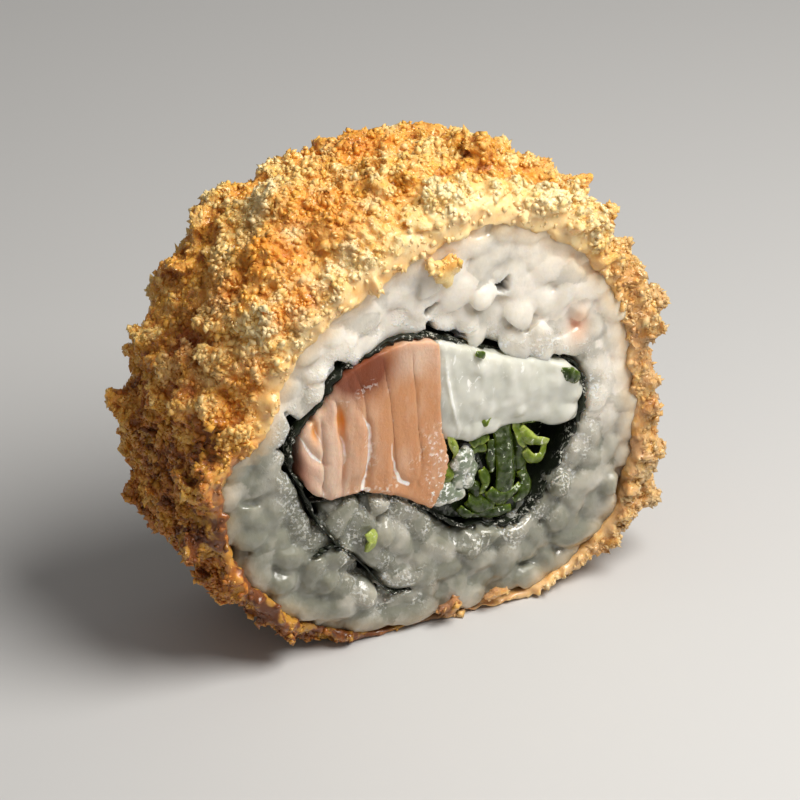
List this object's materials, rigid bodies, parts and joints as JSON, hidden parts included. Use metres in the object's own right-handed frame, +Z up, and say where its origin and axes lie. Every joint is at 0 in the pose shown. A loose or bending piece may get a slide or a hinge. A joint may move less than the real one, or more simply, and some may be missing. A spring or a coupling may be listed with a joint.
{
  "type": "fried sushi roll",
  "caption": "Thick slice of a fried sushi roll: crumb coat round rice and a seaweed spiral that holds salmon, soft cheese and green onion.",
  "frame": {"origin": "on the flat spot the roll rests on, halfway between the two cut faces", "axes": "+Z up; Y runs along the roll, with the cut face that the picture shows at -Y; +X to the right across that face"},
  "size_m": [0.0526, 0.0208, 0.0474],
  "materials": {
    "crumb_coat": "fried bread crumb, rough and craggy, golden with brown hollows",
    "boiled_rice": "sticky boiled rice, moist and slightly translucent",
    "seaweed": "damp pressed seaweed, dark green-black with small wet glints",
    "salmon_flesh": "cooked salmon, satin, with pale lines between its flakes",
    "soft_cheese": "soft white cheese, smooth and moist",
    "onion_leaf": "chopped green onion leaf, wet"
  },
  "bodies": {
    "root": {"breading": "crumb_coat", "rice": "boiled_rice", "nori": "seaweed", "salmon": "salmon_flesh", "cream_cheese": "soft_cheese", "green_onion": "onion_leaf"}
  },
  "joints": []
}
